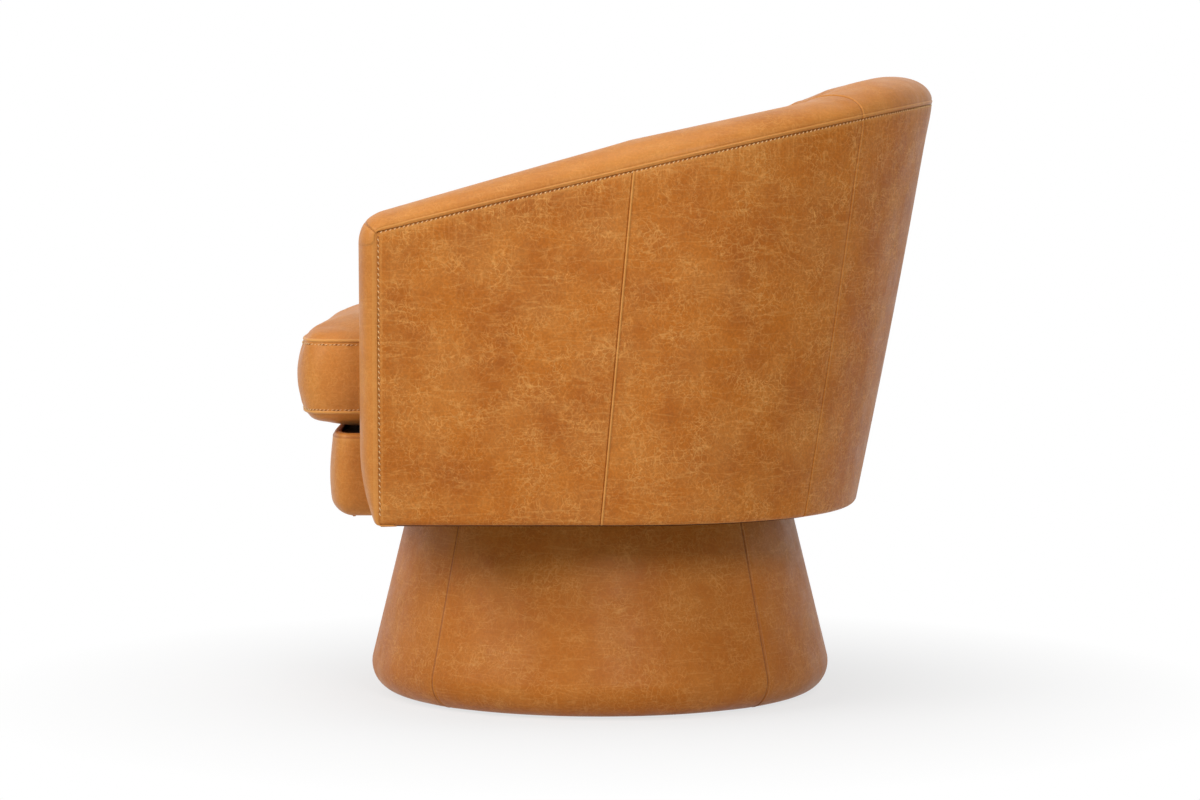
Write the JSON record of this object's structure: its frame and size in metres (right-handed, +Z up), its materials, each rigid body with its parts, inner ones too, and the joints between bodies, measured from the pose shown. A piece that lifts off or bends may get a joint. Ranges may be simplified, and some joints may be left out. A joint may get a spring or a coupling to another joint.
{
  "type": "swivel armchair",
  "caption": "Leather tub armchair with a loose boxed seat cushion, which swivels on a round plinth that narrows towards its top.",
  "frame": {"origin": "on the swivel axis, at floor level", "axes": "+Z up; the chair faces -Y; +X is the sitter's left. The picture looks along -X."},
  "size_m": [0.75, 0.7722, 0.7658],
  "materials": {
    "leather": "tan pull-up leather, satin, with pale creases",
    "leather_light": "tan leather, smoother and lighter where it is drawn over a bend",
    "foam": "cream upholstery foam",
    "plywood": "bare plywood",
    "black_cloth": "black woven deck and dust cloth",
    "steel": "zinc-plated steel",
    "nylon": "black nylon"
  },
  "bodies": {
    "plinth": {"plinth_leather_1": "leather", "plinth_leather_2": "leather", "plinth_leather_3": "leather", "plinth_leather_4": "leather", "plinth_bottom_ring": "plywood", "plinth_bent_wall": "plywood", "plinth_top_board": "plywood", "plinth_padding": "foam", "plinth_rib_1": "plywood", "plinth_rib_2": "plywood", "plinth_rib_3": "plywood", "floor_glide_1": "nylon", "floor_glide_2": "nylon", "floor_glide_3": "nylon", "floor_glide_4": "nylon", "swivel_lower_plate": "steel", "swivel_pivot": "steel", "swivel_lower_screw_1": "steel", "swivel_lower_screw_2": "steel", "swivel_lower_screw_3": "steel", "swivel_lower_screw_4": "steel"},
    "ball_cage": {"swivel_ball_cage": "steel"},
    "seat": {"swivel_upper_plate": "steel", "swivel_upper_screw_1": "steel", "swivel_upper_screw_2": "steel", "swivel_upper_screw_3": "steel", "swivel_upper_screw_4": "steel", "seat_bottom_ring": "plywood", "swivel_board": "plywood", "front_rail": "plywood", "rear_spring_rail": "plywood", "arm_board_left": "plywood", "arm_board_right": "plywood", "back_board": "plywood", "arm_padding_left": "foam", "arm_padding_right": "foam", "back_padding": "foam", "apron_padding": "foam", "outside_front_panel_left": "leather", "outside_front_panel_right": "leather", "outside_rear_panel_left": "leather", "outside_rear_panel_right": "leather", "outside_back_panel": "leather", "inside_panel_left": "leather", "inside_panel_right": "leather", "inside_back_panel": "leather", "top_band_left": "leather_light", "top_band_right": "leather_light", "top_band_back": "leather_light", "arm_facing_left": "leather_light", "arm_facing_right": "leather_light", "apron_leather": "leather_light", "seat_spring_1": "steel", "seat_spring_2": "steel", "seat_spring_3": "steel", "seat_spring_4": "steel", "seat_deck": "black_cloth", "dust_cover": "black_cloth"},
    "cushion": {"seat_cushion_cover": "leather_light", "seat_cushion_core": "foam"}
  },
  "joints": [
    {"name": "seat_swivel", "type": "hinge", "parent": "plinth", "child": "seat", "pos_m": [0, 0, 0.2298], "axis": [0, 0, 1], "continuous": true},
    {"name": "ball_cage_turn", "type": "hinge", "parent": "plinth", "child": "ball_cage", "pos_m": [0, 0, 0.2298], "axis": [0, 0, 1], "continuous": true},
    {"name": "cushion_lift", "type": "slide", "parent": "seat", "child": "cushion", "axis": [0, 0, 1], "range_m": [0, 0.42]}
  ],
  "couplings": [
    {"joint": "ball_cage_turn", "follows": "seat_swivel", "ratio": 0.5}
  ]
}
